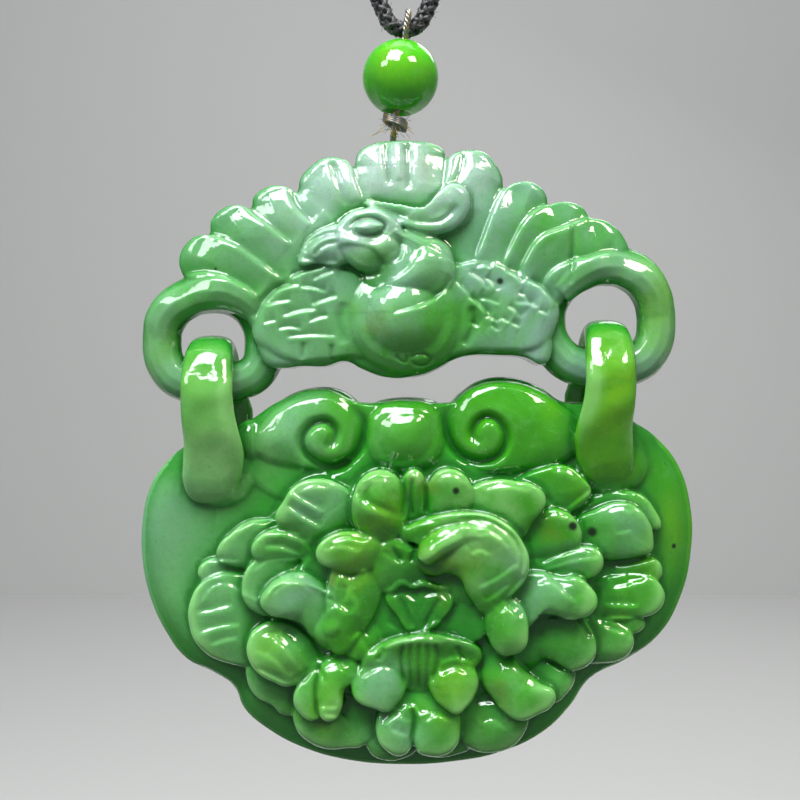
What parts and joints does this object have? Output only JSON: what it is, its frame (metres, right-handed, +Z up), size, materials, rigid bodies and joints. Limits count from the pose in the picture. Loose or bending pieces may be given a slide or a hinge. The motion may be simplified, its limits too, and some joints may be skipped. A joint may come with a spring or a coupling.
{
  "type": "jade pendant",
  "caption": "Carved green jade pendant: a bird plaque with side rings from which a peony plaque swings, under a drilled bead on a whole loop of black neck cord.",
  "frame": {"origin": "inside top of the neck cord's loop, where it lies on the neck or on a peg", "axes": "+Z up along the hanging cord, carved front toward -Y, +X to the viewer's right"},
  "size_m": [0.142, 0.0113, 0.3183],
  "materials": {
    "jade_upper": "polished",
    "jade_lower": "polished",
    "jade_bead": "polished",
    "thread": "metallic thread",
    "cord": "braided",
    "join": "whipped"
  },
  "bodies": {
    "hanger": {"upper_plaque": "jade_upper", "bead": "jade_bead", "thread_loop": "thread", "neck_cord": "cord", "cord_join": "join"},
    "drop": {"lower_plaque": "jade_lower"}
  },
  "joints": [
    {"name": "drop_hinge", "type": "hinge", "parent": "hanger", "child": "drop", "pos_m": [0, 0, -0.27332], "axis": [0.9992, 0, 0.0398], "range_deg": [-60, 50]}
  ]
}
